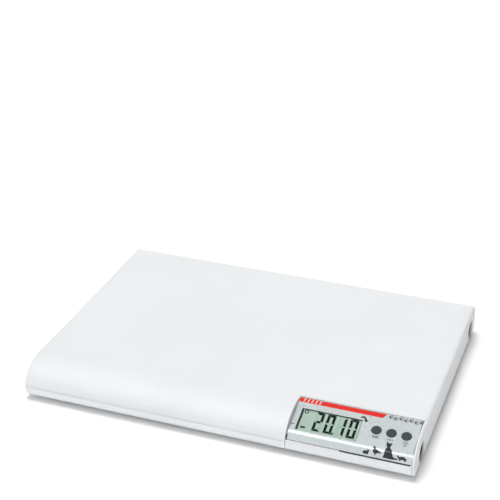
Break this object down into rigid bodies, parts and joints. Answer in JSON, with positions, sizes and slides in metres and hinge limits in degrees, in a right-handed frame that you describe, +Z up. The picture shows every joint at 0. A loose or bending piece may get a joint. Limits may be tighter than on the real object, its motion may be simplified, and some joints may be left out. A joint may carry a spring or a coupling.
{
  "type": "animal weighing scale",
  "caption": "Low flat electronic scale for small animals, with a rounded front edge and a tilted corner display module with push buttons.",
  "frame": {"origin": "middle of the footprint, on the surface that the scale stands on", "axes": "+X to the user's right along the long side, +Y to the rear, +Z up"},
  "size_m": [0.5, 0.36, 0.0463],
  "materials": {
    "white_shell": "moulded ABS, fine satin texture",
    "silver_panel": "silver-grey printed panel under a clear gloss coat",
    "clear_lens": "clear acrylic window",
    "lcd_glass": "pale green liquid crystal cell",
    "lcd_back": "pale green reflector film",
    "plug_grey": "moulded grey plug, fine texture",
    "black_plastic": "black moulded plastic",
    "grey_plastic": "glass-filled nylon",
    "button_grey": "soft-touch dark grey",
    "grey_rubber": "silicone keypad rubber",
    "elastomer_strip": "zebra connector rubber",
    "foot_rubber": "moulded rubber",
    "steel_screw": "zinc-plated steel",
    "galvanised_plate": "galvanised sheet steel",
    "cell_steel": "nickel-plated spring steel",
    "spring_steel": "nickel-plated contact steel",
    "gauge_coating": "clear gauge coating",
    "board_laminate": "green solder mask",
    "connector_plastic": "natural nylon",
    "battery_jacket": "printed battery jacket",
    "cable_jacket": "soft PVC jacket"
  },
  "bodies": {
    "body": {"platform_cover": "white_shell", "bottom_shell": "white_shell", "end_cap_right": "white_shell", "end_cap_left": "white_shell", "end_cap_screws": "steel_screw", "shell_screws": "steel_screw", "stiffener_plate": "galvanised_plate", "display_fascia": "silver_panel", "display_housing": "white_shell", "display_lens": "clear_lens", "lcd_frame": "black_plastic", "lcd_glass": "lcd_glass", "lcd_reflector": "lcd_back", "lcd_connectors": "elastomer_strip", "circuit_board": "board_laminate", "board_components": "black_plastic", "cable_socket": "connector_plastic", "board_screws": "steel_screw", "module_screws": "steel_screw", "keypad_mat": "grey_rubber", "battery_box": "grey_plastic", "batteries": "battery_jacket", "battery_contacts": "spring_steel", "cell_retainers": "grey_plastic", "strain_gauges": "gauge_coating", "side_plug_front_left": "plug_grey", "load_cell_front_left": "cell_steel", "cell_bracket_front_left": "grey_plastic", "foot_post_front_left": "grey_plastic", "foot_pad_front_left": "foot_rubber", "cell_cable_front_left": "cable_jacket", "side_plug_front_right": "plug_grey", "load_cell_front_right": "cell_steel", "cell_bracket_front_right": "grey_plastic", "foot_post_front_right": "grey_plastic", "foot_pad_front_right": "foot_rubber", "cell_cable_front_right": "cable_jacket", "side_plug_rear_left": "plug_grey", "load_cell_rear_left": "cell_steel", "cell_bracket_rear_left": "grey_plastic", "foot_post_rear_left": "grey_plastic", "foot_pad_rear_left": "foot_rubber", "cell_cable_rear_left": "cable_jacket", "side_plug_rear_right": "plug_grey", "load_cell_rear_right": "cell_steel", "cell_bracket_rear_right": "grey_plastic", "foot_post_rear_right": "grey_plastic", "foot_pad_rear_right": "foot_rubber", "cell_cable_rear_right": "cable_jacket", "battery_lead": "cable_jacket"},
    "button_hold": {"button_hold": "button_grey"},
    "button_tare": {"button_tare": "button_grey"},
    "button_power": {"button_power": "button_grey"},
    "battery_door": {"battery_door": "white_shell"}
  },
  "joints": [
    {"name": "hold_press", "type": "slide", "parent": "body", "child": "button_hold", "axis": [0, 0.309, -0.9511], "range_m": [0, 0.001], "stiffness_N_per_m": 1200, "springref_m": -0.0005},
    {"name": "tare_press", "type": "slide", "parent": "body", "child": "button_tare", "axis": [0, 0.309, -0.9511], "range_m": [0, 0.001], "stiffness_N_per_m": 1200, "springref_m": -0.0005},
    {"name": "power_press", "type": "slide", "parent": "body", "child": "button_power", "axis": [0, 0.309, -0.9511], "range_m": [0, 0.001], "stiffness_N_per_m": 1200, "springref_m": -0.0005},
    {"name": "battery_door_hinge", "type": "hinge", "parent": "body", "child": "battery_door", "pos_m": [-0.06, 0.0497, 0.0058], "axis": [1, 0, 0], "range_deg": [0, 98]}
  ]
}
